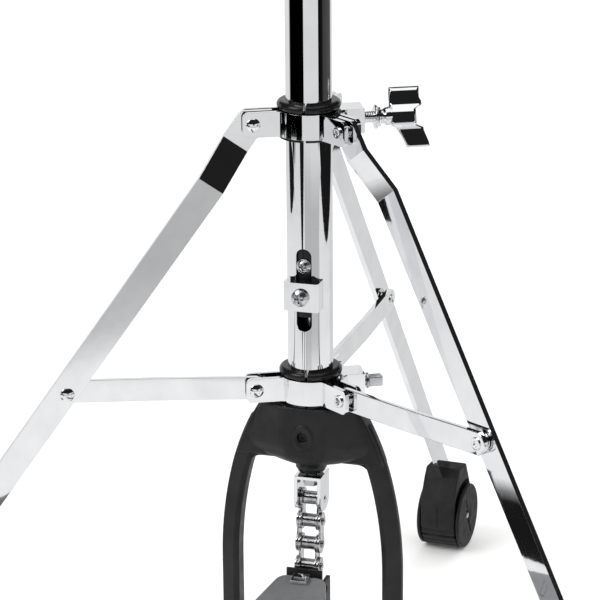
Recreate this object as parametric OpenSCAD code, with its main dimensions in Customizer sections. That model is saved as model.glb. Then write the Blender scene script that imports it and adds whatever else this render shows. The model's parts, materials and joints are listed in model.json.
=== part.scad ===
// Chain-drive hi-hat stand with its pair of cymbals. Millimetres.
// The origin is the tube's axis on the floor, +Z is up and the pedal points along -Y.

/* [Tubes and rod] */
// Outer diameter of the lower tube
tube_d = 25.4; // [25.2:0.1:25.6]
// Height of the lower tube's top
tube_top = 560; // [555:1:570]
// Outer diameter of the upper tube
upper_tube_d = 19; // [18:0.5:19.5]
// Diameter of the pull rod
rod_d = 6; // [5.6:0.1:6.2]
// Height of the pull rod's top
rod_top = 985; // [970:5:1100]

/* [Legs] */
// Height of the brace pivots, on the lower collar
brace_pivot_z = 203; // [202:0.5:206]
// Height of the leg pivots, on the upper collar
leg_pivot_z = 355.7; // [354:0.1:358]
// Turn of the whole leg set about the tube
leg_turn = -4; // [-10:1:10]
// Angle between a leg and the tube
leg_angle = 36; // [35.5:0.1:36.5]
// Width of a leg's flat bar
leg_w = 14; // [13:0.5:15]
// Thickness of a leg's flat bar
leg_t = 3.1; // [2.8:0.1:3.2]
// Width of a brace's flat bar
brace_w = 13; // [12:0.5:13.5]
// Radius of a rubber foot
boot_r = 21.5; // [21:0.5:22]

/* [Frame and pedal] */
// Half the outer width of the cast frame
frame_half = 53.6; // [53:0.1:54]
// Depth of the cast frame's legs
frame_depth = 12.6; // [12:0.2:13]
// Pitch of the chain
chain_pitch = 13.2; // [13.1:0.05:13.3]
// Slope of the footboard
board_angle = 13.85; // [13.7:0.05:14]
// Width of the footboard at its widest
board_w = 84; // [80:1:86]

/* [Cymbals] */
// Diameter of both cymbals
cymbal_d = 356; // [330:1:381]
// Thickness of the cymbals
cymbal_t = 1.3; // [1.1:0.1:1.5]
// Gap between the cymbals' edges
cymbal_gap = 30; // [30:1:34]

/* [Hidden] */
$fn = 64;

CHROME = "#d9dbde";
STEEL = "#a7a9ad";
CAST_BLACK = "#1d1d1f";
RUBBER = "#262627";
NYLON = "#131314";
BRONZE = "#b98d45";
FELT = "#d8d4c8";
GREY_METAL = "#8c8e91";

running = 0.05;      // radial clearance of a running fit
seated = 0.02;       // radial clearance of pieces that sit still
tube_wall = 1.6;
tube_r = tube_d / 2;
tube_in = tube_r - tube_wall;
rod_r = rod_d / 2;

// Azimuths of the legs about +Z, from +X
LEFT = 210 + leg_turn;
RIGHT = 330 + leg_turn;
REAR = 90 + leg_turn;
BOLT_SIDE = 30 + leg_turn;     // midway between the right and the rear leg

// Collars: three pressed segments each, riveted in pairs round a leg or a brace
collar_h = 14;
collar_in = 14.7;
collar_out = 17.2;
ear_in = 3.3;
ear_t = 2.5;
ear_end = 37;
pivot_r = 31.3;
slit_side = -82;
rivet_r = 2.5;

// Legs: the bar steps sideways between two creases, then runs straight to its foot.
// Along the bar, x is the distance from the pivot and y the sideways offset.
foot_z = boot_r;
foot_r = 258;
leg_len = 388;
leg_crease_1 = 14.5;
leg_crease_2 = 40;
leg_offset = 8.5;
leg_drift = -0.0163;
link_along = 181;
link_in = 1.25;
function leg_side(s) = leg_offset + leg_drift * (s - leg_crease_2);
leg_path = [[-20, 0], [leg_crease_1, 0], [leg_crease_2, leg_offset], [leg_len, leg_side(leg_len)]];

// Braces
brace_t = 3;
brace_len = 105.5;
brace_rise = 3;
brace_path = [[-brace_w / 2, 0], [57, 0], [92.5, 1.4], [brace_len + brace_w / 2, 1.4]];

// Spring adjuster
slot_low = 238;
slot_high = 286;
slot_w = 8.9;
block_z = 260;
block_face = 18.6;
seat_top = 289;
seat_screw_z = 276;
spring_len = 78;
spring_r = 8;
spring_wire = 1.1;
spring_turns = 11;
rod_joint_z = 470;

// Chain
foot_x = frame_half - 5.6;
pin_z = 134.4;
chain_lean = asin(8.3 / 52.8);
chain_links = 4;
pin_r = 2;
plate_t = 1.5;
inner_face = 4.05;
outer_face = 5.65;
clevis_in = 5.8;

// Pedal
hinge_y = -285;
hinge_z = 24;
toe_along = 276.4;

// Cymbal stack heights
seat_z = 785;
cup_z = seat_z + 0.3;
felt_z = cup_z + 3;
low_apex = felt_z + 8.3;
cymbal_h = 38;
bell_r = 48;
bell_h = 17;
high_apex = low_apex + 2 * (cymbal_h + cymbal_t) + cymbal_gap;
clutch_z = high_apex - 8;

function unit(v) = v / norm(v);
function normal(v) = [-v[1], v[0]];
function arc(c, r, a0, a1, n) = [for (i = [0:n]) let (a = a0 + (a1 - a0) * i / n) c + r * [cos(a), sin(a)]];

// Offset direction at point i of an open path, lengthened at a bend so the bar keeps its thickness
function mitre(p, i) =
    i == 0 ? normal(unit(p[1] - p[0])) :
    i == len(p) - 1 ? normal(unit(p[i] - p[i - 1])) :
    let (a = normal(unit(p[i] - p[i - 1])), b = normal(unit(p[i + 1] - p[i])), m = unit(a + b)) m / (m * a);

module bent_bar(p, t) {
    polygon(concat(
        [for (i = [0:len(p) - 1]) p[i] + mitre(p, i) * t / 2],
        [for (i = [len(p) - 1:-1:0]) p[i] - mitre(p, i) * t / 2]));
}

module ring(r_out, r_in, z0, z1) {
    translate([0, 0, z0]) difference() {
        cylinder(r = r_out, h = z1 - z0);
        translate([0, 0, -1]) cylinder(r = r_in, h = z1 - z0 + 2);
    }
}

module rod_between(r, z0, z1) {
    translate([0, 0, z0]) cylinder(r = r, h = z1 - z0);
}

// A cylinder along +Y, from y0 to y1
module y_rod(r, y0, y1) {
    translate([0, y0, 0]) rotate([-90, 0, 0]) cylinder(r = r, h = y1 - y0);
}

// A cylinder along +X, from x0 to x1
module x_rod(r, x0, x1) {
    translate([x0, 0, 0]) rotate([0, 90, 0]) cylinder(r = r, h = x1 - x0);
}

// A shallow dome of base radius r, standing on z = 0
module dome(r, h) {
    ball = (r * r + h * h) / (2 * h);
    intersection() {
        translate([0, 0, h - ball]) sphere(r = ball);
        cylinder(r = r + 1, h = h + 1);
    }
}

// Domed screw head with a cross recess, standing on z = 0
module cross_head(r, h) {
    difference() {
        union() {
            cylinder(r = r, h = h * 0.45);
            translate([0, 0, h * 0.45 - 0.02]) dome(r - 0.15, h * 0.55);
        }
        for (a = [0, 90]) rotate([0, 0, a]) translate([-r * 0.55, -0.6, h * 0.45]) cube([r * 1.1, 1.2, h]);
    }
}

// ---- Frame ----

// One side of the arch at a distance inside its outer line: a long bend, then a tighter one up to z = top
function arch_side(inside, top) =
    let (low_r = 239, high_r = 150, turn = 13.5, low_c = [frame_half - low_r, 94.2],
        high_c = low_c + (low_r - high_r) * [cos(turn), sin(turn)], r = high_r - inside)
    concat([[frame_half - inside, 4]], arc(low_c, low_r - inside, 0, turn, 7),
        arc(high_c, r, turn + 2.3, asin((top - high_c[1]) / r), 6));

module arch_outline() {
    wall = 11.3;
    crotch = 158.6;
    half_out = arch_side(0, 193.8);
    side = arch_side(wall, crotch - 8);
    half_in = concat(side, arc([last_x(side) - 8, crotch - 8], 8, 12, 90, 5));
    foot = frame_half - wall;
    difference() {
        polygon(concat(half_out, mirrored(half_out)));
        translate([0, -1]) polygon(concat([[0, 5], [foot, 5]], half_in, mirrored(half_in), [[-foot, 5]]));
        translate([-frame_half + wall, 0]) square([2 * (frame_half - wall), 6]);
    }
}
function last_x(p) = p[len(p) - 1][0];
function mirrored(p) = [for (i = [len(p) - 1:-1:0]) [-p[i][0], p[i][1]]];

// Plan of the crown at one height: a long hexagon, deepest at the tube
module crown_plan(end_x, end_y, mid_x, mid_y) {
    quarter = [[end_x, end_y], [mid_x, mid_y]];
    polygon(concat(quarter, [for (i = [1:-1:0]) [-quarter[i][0], quarter[i][1]]],
        [for (p = quarter) -p], [for (i = [1:-1:0]) [quarter[i][0], -quarter[i][1]]]));
}

// Boat-shaped crown that holds the tube, narrower towards its lower edge
module crown() {
    hull() {
        translate([0, 0, 193.2]) linear_extrude(1) crown_plan(26.5, 9, 13, 17.2);
        translate([0, 0, 170]) linear_extrude(1) crown_plan(37, 5.7, 13, 17.2);
        translate([0, 0, 163]) linear_extrude(1) crown_plan(33, 5.7, 10, 15.4);
        translate([0, 0, 158.2]) linear_extrude(1) crown_plan(17, 5.7, 5.8, 12.2);
    }
}

module frame_casting() {
    color(CAST_BLACK) difference() {
        union() {
            rotate([90, 0, 0]) linear_extrude(frame_depth, center = true) arch_outline();
            crown();
            translate([0, 0, 153.3]) cylinder(r1 = 8.7, r2 = 9.6, h = 8);
            translate([0, 0, 177]) scale([0.86, 1, 1.12]) y_rod(6.6, -18.4, 0);
            for (s = [-1, 1]) translate([s * foot_x, 0, 4]) translate([-8, -11, 0]) cube([16, 22, 7]);
        }
        rod_between(tube_r + seated, 163, 200);
        rod_between(6.4 + seated, 150, 164);
        translate([0, 0, 177]) y_rod(2.5 + seated, -30, -10);
        translate([0, 0, 177]) y_rod(4.2, -30, -16.9);
        for (s = [-1, 1]) translate([s * foot_x, 0, 0]) rod_between(2.5 + seated, 0, 16);
        for (s = [-1, 1]) translate([s * foot_x, 0, 19]) y_rod(3 + seated, -20, -1);
    }
}

module foot_plate() {
    color(STEEL) difference() {
        translate([-62, -18, 0]) cube([124, 36, 4]);
        for (s = [-1, 1]) translate([s * foot_x, 0, 0]) {
            rod_between(2.5 + seated, -1, 5);
            rod_between(4.5 + seated, -1, 2.2);
        }
    }
}

module foot_plate_screws() {
    color(STEEL) for (s = [-1, 1]) translate([s * foot_x, 0, 0]) {
        rod_between(4.5, 0.4, 2.2);
        rod_between(2.5, 1, 15);
    }
}

module hub_screw() {
    color(STEEL) translate([0, 0, 177]) difference() {
        y_rod(2.5, -16.5, -tube_r - 0.4);
        translate([0, -17, 0]) rotate([-90, 0, 0]) cylinder(r = 1.3, h = 2.5, $fn = 6);
    }
}

module rod_guide_bush() {
    color(NYLON) difference() {
        union() {
            rod_between(6.4, 152, 163);
            translate([0, 0, 151.4]) cylinder(r1 = 7.4, r2 = 8.2, h = 1.8);
        }
        rod_between(rod_r + running, 140, 170);
    }
}

module lower_tube() {
    color(CHROME) difference() {
        ring(tube_r, tube_in, 163, tube_top);
        for (z = [slot_low + slot_w / 2, slot_high - slot_w / 2])
            translate([0, 0, z]) y_rod(slot_w / 2, -20, -5);
        translate([-slot_w / 2, -20, slot_low + slot_w / 2])
            cube([slot_w, 15, slot_high - slot_low - slot_w]);
    }
}

// ---- Collars ----

// Centre line of half a pressed segment: the ear, its bend, then the arc round the bush up to 60 degrees
ear_mid = ear_in + ear_t / 2;
mid_r = (collar_in + collar_out) / 2;
bend_r = 3.2;
bend_x = sqrt(pow(mid_r + bend_r, 2) - pow(ear_mid + bend_r, 2));
bend_a = atan2(ear_mid + bend_r, bend_x);
half_segment = concat([[ear_end, ear_mid]],
    arc([bend_x, ear_mid + bend_r], bend_r, -90, bend_a - 180, 5),
    [for (i = [1:9]) mid_r * [cos(bend_a + (60 - bend_a) * i / 9.5), sin(bend_a + (60 - bend_a) * i / 9.5)]]);
function across_60(p) = [p[0] * cos(120) + p[1] * sin(120), p[0] * sin(120) - p[1] * cos(120)];
segment_path = concat(half_segment, [for (i = [len(half_segment) - 1:-1:0]) across_60(half_segment[i])]);

// One pressed segment: an arc round the bush with a flat ear at each end, its corners rounded
module collar_segment(az, z) {
    half = collar_h / 2;
    corner = 3.2;
    rotate([0, 0, az]) translate([0, 0, z]) difference() {
        linear_extrude(collar_h, center = true) bent_bar(segment_path, ear_t);
        for (turn = [0, 120], side = [-1, 1]) rotate([0, 0, turn]) rotate([90, 0, 0])
            linear_extrude(14, center = true)
                translate([ear_end - corner, side * (half - corner)]) mirror([0, 1 - side])
                polygon(concat([[corner + 0.1, -0.5]], arc([0, 0], corner, 22.5, 67.5, 2), [[-0.5, corner + 0.1],
                    [-0.5, corner + 1], [corner + 1, corner + 1], [corner + 1, -0.5]]));
    }
}

module collar(z, bolt_r) {
    for (az = [LEFT, REAR]) difference() {
        collar_segment(az, z);
        for (a = [LEFT, RIGHT, REAR]) pivot_hole(a, z);
    }
    difference() {
        union() {
            collar_segment(RIGHT, z);
            rotate([0, 0, BOLT_SIDE])
                translate([collar_out - 1, -7.5, z - 6.8]) cube([30.5 - collar_out, 15, 13.6]);
        }
        for (a = [RIGHT, REAR]) pivot_hole(a, z);
        rotate([0, 0, BOLT_SIDE]) translate([0, 0, z]) x_rod(bolt_r + running, 5, 40);
    }
}

module pivot_hole(az, z) {
    rotate([0, 0, az]) translate([pivot_r, 0, z]) y_rod(rivet_r + seated, -10, 10);
}

// Split bush with a thick flange above the collar and a thin one below it
module split_bush(z) {
    below = z - collar_h / 2;
    above = z + collar_h / 2;
    color(NYLON) difference() {
        union() {
            rod_between(collar_in - seated, below - 1.5, above + 5);
            rod_between(16.4, below - 1.5, below - seated);
            translate([0, 0, above + seated]) rotate_extrude() union() {
                square([15.2, 5]);
                translate([15.2, 2.4]) intersection() {
                    circle(2.4);
                    translate([0, -3]) square([4, 8]);
                }
            }
        }
        rod_between(tube_r + running, below - 5, above + 9);
        rotate([0, 0, slit_side]) translate([0, -0.7, below - 5]) cube([30, 1.4, collar_h + 15]);
        rotate([0, 0, BOLT_SIDE]) translate([0, 0, z]) x_rod(3.5, tube_r + 1.4, 30);
    }
}

// Rivet through a pair of ears, with a domed head on one side and a rolled rim on the other
module ear_rivet(az, z) {
    outer = ear_in + ear_t;
    rotate([0, 0, az]) translate([pivot_r, 0, z]) difference() {
        union() {
            y_rod(rivet_r, -outer - 0.5, outer + 0.5);
            translate([0, outer, 0]) rotate([-90, 0, 0]) dome(4.1, 1.7);
            y_rod(3.5, -outer - 1, -outer);
            y_rod(3.4, leg_t / 2 + 0.4, ear_in);
            y_rod(3.4, -ear_in, -leg_t / 2 - 0.4);
        }
        y_rod(1.5, -outer - 2, -outer + 3);
    }
}

module lower_collar() {
    color(CHROME) collar(brace_pivot_z, 3);
}

module upper_collar() {
    color(CHROME) collar(leg_pivot_z, 3.4);
}

module lower_bush() {
    split_bush(brace_pivot_z);
}

module upper_bush() {
    split_bush(leg_pivot_z);
}

module lower_collar_bolt() {
    color(STEEL) rotate([0, 0, BOLT_SIDE]) translate([0, 0, brace_pivot_z]) {
        x_rod(3, 15.2, 32.5);
        translate([32.5, -3.5, -3.5]) cube([8, 7, 7]);
        x_rod(4.6, 31.2, 32.5);
    }
}

module brace_pivot_rivets() {
    color(CHROME) for (az = [LEFT, RIGHT, REAR]) ear_rivet(az, brace_pivot_z);
}

module leg_pivot_rivets() {
    color(CHROME) for (az = [LEFT, RIGHT, REAR]) ear_rivet(az, leg_pivot_z);
}

// Wing bolt along +X with its tip at x = tip, the wings at right angles to it along Z
module wing_bolt(r, tip, seat, length) {
    hub = length - 10;
    difference() {
        union() {
            x_rod(r, tip, seat + 1);
            x_rod(6, seat, seat + 3.5);
            translate([seat + 3.5, 0, 0]) rotate([0, 90, 0]) cylinder(r1 = 6, r2 = 5, h = hub);
            wing_blade(seat + 3.5, length);
            rotate([180, 0, 0]) wing_blade(seat + 3.5, length);
        }
        translate([seat + 3.5 + hub - 3, 0, 0]) x_rod(2, 0, 10);
    }
}

// One blade: a thick leaf that leans along the bolt as it rises
module wing_blade(x0, length) {
    rotate([90, 0, 0]) linear_extrude(4.6, center = true)
        polygon(concat([[x0 + 1, 2], [x0 + length - 12, 2], [x0 + length - 4, 8]],
            arc([x0 + length - 7, 11.5], 4.4, -30, 100, 6), [[x0 + 5, 16], [x0 + 3.4, 14.5]]));
}

module collar_wing_bolt() {
    color(CHROME) rotate([0, 0, BOLT_SIDE]) translate([0, 0, leg_pivot_z]) wing_bolt(3.4, 15.2, 35.8, 28);
}

// ---- Legs and braces ----

// Places its children in a leg's bar frame: X down the bar, Y sideways, Z up and out across it
module on_leg(az) {
    rotate([0, 0, az]) translate([pivot_r, 0, leg_pivot_z]) rotate([0, 90 - leg_angle, 0]) children();
}

// A point given as (x, z) from the leg's pivot, in the bar frame's (along, across)
function to_bar(x, z) = [x * sin(leg_angle) - z * cos(leg_angle), x * cos(leg_angle) + z * sin(leg_angle)];

// Outline of the bar's face: a squared head with a stop that rests on the collar, then the straight bar
function leg_outline() = let (half = leg_w / 2, corner = 3.4)
    concat([[leg_len, -half], [leg_len, half]],
        [for (a = [leg_angle : (90 - leg_angle) / 4 : 90.1]) to_bar(
            (half - corner) * cos(leg_angle) + corner * cos(a) + 1.6, half - corner * (1 - sin(a)))],
        [to_bar(-11, half), to_bar(-11, 1.5), to_bar(-7, -2.5), [2, -half]]);

module leg(az) {
    color(CHROME) difference() {
        on_leg(az) intersection() {
            translate([0, 0, -20]) linear_extrude(40) bent_bar(leg_path, leg_t);
            rotate([90, 0, 0]) linear_extrude(60, center = true) polygon(leg_outline());
        }
        rotate([0, 0, az]) translate([pivot_r, 0, leg_pivot_z]) y_rod(rivet_r + running, -5, 5);
        on_leg(az) translate([link_along, 0, -link_in]) y_rod(rivet_r + seated, 0, 12);
    }
}

module left_leg() {
    leg(LEFT);
}

module right_leg() {
    leg(RIGHT);
}

module rear_leg() {
    leg(REAR);
}

// Rubber foot: a round shoe with a raised disc each side and a tapered socket for the leg
module boot(az) {
    w = 22.8;
    color(RUBBER) difference() {
        rotate([0, 0, az]) translate([foot_r, leg_side(leg_len), foot_z]) {
            y_rod(boot_r, -w / 2, w / 2);
            y_rod(16, -w / 2 - 3, w / 2 + 3);
            for (s = [-1, 1]) translate([0, s * (w / 2 + 1.9), 0]) y_rod(boot_r - 0.4, -1.1, 1.1);
            rotate([90, 0, 0]) linear_extrude(w - 3, center = true)
                polygon([[-boot_r, 0], [-20.5, 24], [-15, 33.5], [4.5, 34.5], [14.5, 15.5], [0, 0]]);
        }
        on_leg(az) translate([200, 0, -leg_w / 2 - seated]) linear_extrude(leg_w + 2 * seated)
            bent_bar([[0, leg_side(200)], [leg_len - 199.5, leg_side(leg_len + 0.5)]], leg_t + 2 * seated);
    }
}

module left_boot() {
    boot(LEFT);
}

module right_boot() {
    boot(RIGHT);
}

module rear_boot() {
    boot(REAR);
}

// Rivet and spacer that hold a brace to its leg; the brace turns on its free end
module link_rivet(az) {
    v = leg_side(link_along);
    color(CHROME) on_leg(az) translate([link_along, v, -link_in]) {
        y_rod(rivet_r, -leg_t / 2 - 1.3, leg_t / 2 + 0.5);
        y_rod(4.6, -leg_t / 2 - 1.3, -leg_t / 2 - 0.15);
        translate([0, leg_t / 2 + 0.12, 0]) rotate([-90, 0, 0]) dome(4.1, 1.7);
    }
}

module left_link_rivet() {
    link_rivet(LEFT);
}

module right_link_rivet() {
    link_rivet(RIGHT);
}

module rear_link_rivet() {
    link_rivet(REAR);
}

module brace(az) {
    r = brace_w / 2;
    color(CHROME) rotate([0, 0, az]) translate([pivot_r, 0, brace_pivot_z])
        rotate([0, -brace_rise, 0]) difference() {
        intersection() {
            translate([0, 0, -r]) linear_extrude(brace_w) bent_bar(brace_path, brace_t);
            union() {
                y_rod(r, -10, 10);
                translate([brace_len, 0, 0]) y_rod(r, -10, 10);
                translate([0, -10, -r]) cube([brace_len, 20, brace_w]);
            }
        }
        y_rod(rivet_r + running, -5, 5);
    }
}

module left_brace() {
    brace(LEFT);
}

module right_brace() {
    brace(RIGHT);
}

module rear_brace() {
    brace(REAR);
}

// ---- Spring and pull rod ----

module adjuster_block() {
    color(CHROME) translate([0, 0, block_z]) difference() {
        linear_extrude(16.4, center = true)
            polygon([[-10, -8], [-10, -block_face + 1.2], [-8.8, -block_face], [8.8, -block_face],
                [10, -block_face + 1.2], [10, -8]]);
        translate([0, 0, -10]) cylinder(r = tube_r + running, h = 20);
        y_rod(3 + running, -30, 0);
    }
}

module adjuster_screw() {
    color(STEEL) translate([0, 0, block_z]) {
        y_rod(3, -block_face - 0.5, -5.5);
        translate([0, -block_face, 0]) rotate([90, 0, 0]) cross_head(4.8, 3.8);
    }
}

module spring_seat() {
    color(NYLON) difference() {
        rod_between(tube_in - running, 246, seat_top);
        rod_between(rod_r + 0.4, 240, 300);
        for (z = [block_z, seat_screw_z]) translate([0, 0, z]) y_rod(3 + seated, -20, -5);
        translate([0, 0, seat_screw_z]) y_rod(4.25, -20, -tube_in + 1);
    }
}

module seat_screw() {
    color(STEEL) translate([0, 0, seat_screw_z]) {
        y_rod(2.9, -tube_in + 0.5, -5.5);
        translate([0, -tube_in + 1, 0]) rotate([90, 0, 0]) cross_head(4.1, 4.6);
    }
}

module lower_pull_rod() {
    color(STEEL) rod_between(rod_r, 142.4, rod_joint_z - 0.1);
}

module upper_pull_rod() {
    color(STEEL) union() {
        rod_between(rod_r, rod_joint_z, rod_top - 1);
        translate([0, 0, rod_top - 1]) cylinder(r1 = rod_r, r2 = rod_r - 1, h = 1);
    }
}

module rod_coupler() {
    color(STEEL) translate([0, 0, rod_joint_z - 12]) difference() {
        cylinder(r = 5.6, h = 24, $fn = 6);
        translate([0, 0, -1]) cylinder(r = rod_r + seated, h = 26);
    }
}

// Compression spring as a tube swept along a helix
module spring() {
    sides = 8;
    rings = 14 * spring_turns;
    z0 = seat_top + spring_wire + 0.1;
    rise = spring_len - 2 * spring_wire - 0.2;
    function pt(i, j) =
        let (a = 360 * spring_turns * i / rings, b = 360 * j / sides, r = spring_r + spring_wire * cos(b))
        [r * cos(a), r * sin(a), z0 + rise * i / rings + spring_wire * sin(b)];
    points = [for (i = [0:rings]) for (j = [0:sides - 1]) pt(i, j)];
    walls = [for (i = [0:rings - 1]) for (j = [0:sides - 1])
        [i * sides + j, i * sides + (j + 1) % sides, (i + 1) * sides + (j + 1) % sides, (i + 1) * sides + j]];
    color(STEEL) polyhedron(points, concat(walls, [[for (j = [sides - 1:-1:0]) j]],
        [[for (j = [0:sides - 1]) rings * sides + j]]), convexity = 10);
}

module spring_collar() {
    color(STEEL) ring(9.4, rod_r + seated, seat_top + spring_len, seat_top + spring_len + 8);
}

// ---- Chain ----

module chain_clevis() {
    w = clevis_in + 2.1;
    d = 8.6;
    clevis_low = 6.9;
    color(CHROME) difference() {
        union() {
            translate([-w, -d, 148]) cube([2 * w, 2 * d, 2]);
            for (s = [-1, 1]) intersection() {
                translate([s * (w + clevis_in) / 2 - 1.05, -d, 126]) cube([2.1, 2 * d, 23]);
                rotate([90, 0, 90]) linear_extrude(40, center = true) polygon(concat([[d, 150], [-d, 150]],
                    [for (i = [0:12]) [-d * cos(15 * i), pin_z - clevis_low * sin(15 * i)]]));
            }
        }
        translate([0, 0, pin_z]) x_rod(pin_r + running, -20, 20);
        rod_between(rod_r + seated, 140, 155);
    }
}

module clevis_nut() {
    color(STEEL) translate([0, 0, 143]) difference() {
        cylinder(r = 5.2, h = 4.9, $fn = 6);
        translate([0, 0, -1]) cylinder(r = rod_r + seated, h = 7);
    }
}

// Places its children at pin i, with the next pin straight below
module at_pin(i) {
    translate([0, 0, pin_z]) rotate([-chain_lean, 0, 0]) translate([0, 0, -chain_pitch * i]) children();
}

// Figure-of-eight side plate from this pin to the next
module link_plate(x0) {
    waist = 3.2;
    difference() {
        union() {
            x_rod(5.4, x0, x0 + plate_t);
            translate([0, 0, -chain_pitch]) x_rod(5.4, x0, x0 + plate_t);
            translate([x0, -waist, -chain_pitch]) cube([plate_t, 2 * waist, chain_pitch]);
        }
        for (z = [0, -chain_pitch]) translate([0, 0, z]) x_rod(pin_r + seated, x0 - 1, x0 + plate_t + 1);
    }
}

module chain_inner_plates() {
    color(STEEL) for (i = [0, 2]) at_pin(i) for (x0 = [inner_face, -inner_face - plate_t]) link_plate(x0);
}

module chain_outer_plates() {
    color(STEEL) for (i = [1, 3]) at_pin(i) for (x0 = [outer_face, -outer_face - plate_t]) link_plate(x0);
}

module chain_rollers() {
    color(STEEL) for (i = [0:3]) at_pin(i) difference() {
        x_rod(3.9, -inner_face + 0.1, inner_face - 0.1);
        x_rod(pin_r + seated, -10, 10);
    }
}

module chain_pins() {
    color(STEEL) for (i = [0:chain_links]) at_pin(i) {
        x_rod(pin_r, -8.4, 8.4);
    }
}

// ---- Pedal ----

// Places its children in the footboard's frame: Y along the board towards the toe, Z up from it
module on_board() {
    translate([0, hinge_y, hinge_z]) rotate([board_angle, 0, 0]) children();
}

module board_outline(inset) {
    half = board_w / 2 - inset;
    toe = toe_along - inset;
    right = concat([[half - 2, 9 + inset], [half, 60], [half, 150], [half - 9, 205], [half - 20, 245]],
        arc([8.2 - inset, toe - 8], 7, 12, 90, 5));
    polygon(concat(right, [for (i = [len(right) - 1:-1:0]) [-right[i][0], right[i][1]]]));
}

module footboard() {
    knuckle = 26;
    color(GREY_METAL) on_board() difference() {
        union() {
            linear_extrude(5) board_outline(0);
            translate([0, 0, -6]) linear_extrude(6) difference() {
                board_outline(0);
                board_outline(3.5);
                translate([-60, toe_along - 22]) square([120, 40]);
                translate([-60, -10]) square([120, 30]);
            }
            x_rod(6, -knuckle, knuckle);
            translate([-knuckle, 0, 0]) cube([2 * knuckle, 10, 5]);
        }
        x_rod(3 + running, -60, 60);
    }
}

// Black fork under the toe that carries the chain's last pin
module toe_bracket() {
    color(CAST_BLACK) difference() {
        union() {
            on_board() translate([-10.6, toe_along - 30, -2.6]) cube([21.2, 29, 2.3]);
            for (s = [-1, 1]) translate([s * 9.6 - 1.1, -25, 72]) cube([2.2, 25, 15.6]);
            translate([-10.6, -17.5, 72.5]) cube([21.2, 2.3, 7.5]);
            translate([-10.5, -15.8, 73]) cube([21, 1.4, 23.6]);
            translate([-4.8, -17, 77.8]) cube([9.6, 8.7, 4.4]);
            chain_end() x_rod(4.6, -5, 5);
        }
        chain_end() x_rod(pin_r + 0.5, -30, 30);
        on_board() translate([-20, toe_along - 40, -0.1]) cube([40, 40.2, 20]);
    }
}

module chain_end() {
    at_pin(chain_links) rotate([chain_lean, 0, 0]) children();
}

module toe_clip() {
    color(CHROME) on_board() difference() {
        translate([-4.8, toe_along - 9.6, 5.02]) cube([9.6, 7.4, 1.6]);
        translate([-3.3, toe_along - 8.8, 4]) cube([6.6, 2.8, 4]);
    }
}

module heel_plate() {
    color(GREY_METAL) difference() {
        union() {
            translate([-46, -362, 0]) cube([92, 68, 5]);
            translate([-40, -362, 0]) cube([80, 60, 9]);
            for (s = [-1, 1]) translate([s * 33 - 5, 0, 0]) {
                translate([0, hinge_y, hinge_z]) x_rod(7.5, 0, 10);
                translate([0, hinge_y - 9, 0]) cube([10, 16.5, hinge_z]);
                translate([0, -312, 0]) cube([10, 30, 9]);
            }
            for (s = [-1, 1]) translate([s * foot_x - 6, -318, 0]) cube([12, 26, 13]);
        }
        translate([0, hinge_y, hinge_z]) x_rod(3 + seated, -60, 60);
        for (s = [-1, 1]) translate([s * foot_x, 0, 7.5]) y_rod(3 + seated, -312, -280);
    }
}

module heel_pin() {
    color(STEEL) translate([0, hinge_y, hinge_z]) x_rod(3, -40, 40);
}

module radius_rods() {
    drop = 19 - 7.5;
    color(STEEL) for (s = [-1, 1]) translate([s * foot_x, 0, 0]) union() {
        translate([0, 0, 19]) y_rod(3, -40, -1.5);
        translate([0, -40, 19]) sphere(r = 3);
        translate([0, -40, 19]) rotate([atan(drop / 40), 0, 0]) y_rod(3, -norm([drop, 40]), 0);
        translate([0, -80, 7.5]) sphere(r = 3);
        translate([0, 0, 7.5]) y_rod(3, -311, -80);
    }
}

// ---- Upper tube and cymbals ----

module height_clamp() {
    low = tube_top - 24;
    color(CHROME) difference() {
        union() {
            rod_between(18.2, low, tube_top + 8);
            rotate([0, 0, BOLT_SIDE]) translate([12, -9, tube_top - 20]) cube([24, 18, 20]);
        }
        rod_between(tube_r + seated, low - 1, tube_top + seated);
        rod_between(upper_tube_d / 2 + running, tube_top - 1, tube_top + 10);
        rotate([0, 0, BOLT_SIDE]) translate([11, -1.5, low - 1]) cube([40, 3, 50]);
        rotate([0, 0, BOLT_SIDE]) translate([27, 0, tube_top - 10]) y_rod(3.4 + running, -20, 20);
    }
}

module height_wing_bolt() {
    color(CHROME) rotate([0, 0, BOLT_SIDE]) translate([27, 0, tube_top - 10]) rotate([0, 0, -90])
        wing_bolt(3.4, -10, 9.4, 28);
}

module upper_tube() {
    color(CHROME) ring(upper_tube_d / 2, upper_tube_d / 2 - 1.4, 510, seat_z - 7);
}

module cymbal_seat() {
    color(CHROME) difference() {
        union() {
            rod_between(12.5, seat_z - 27, seat_z - 4);
            rod_between(20, seat_z - 4, seat_z);
            rod_between(5.6, seat_z - 4, low_apex + 4);
        }
        rod_between(upper_tube_d / 2 + seated, seat_z - 30, seat_z - 7);
        rod_between(rod_r + 0.5, seat_z - 30, low_apex + 10);
        translate([15.5, 0, 0]) rod_between(2.05 + running, seat_z - 10, seat_z + 1);
    }
}

module tilt_screw() {
    color(CHROME) translate([15.5, 0, 0]) {
        rod_between(2.05, seat_z - 6, seat_z - 0.2);
        rod_between(2.6, seat_z - 9, seat_z - 4.4);
        translate([0, 0, seat_z - 12]) cylinder(r = 2.8, h = 4, $fn = 24);
    }
}

module tilt_cup() {
    color(CHROME) ring(20, 7.2, cup_z, felt_z - 0.2);
}

module seat_felt() {
    color(FELT) ring(18, 7.2, felt_z - 0.2, low_apex - 0.02);
}

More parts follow.
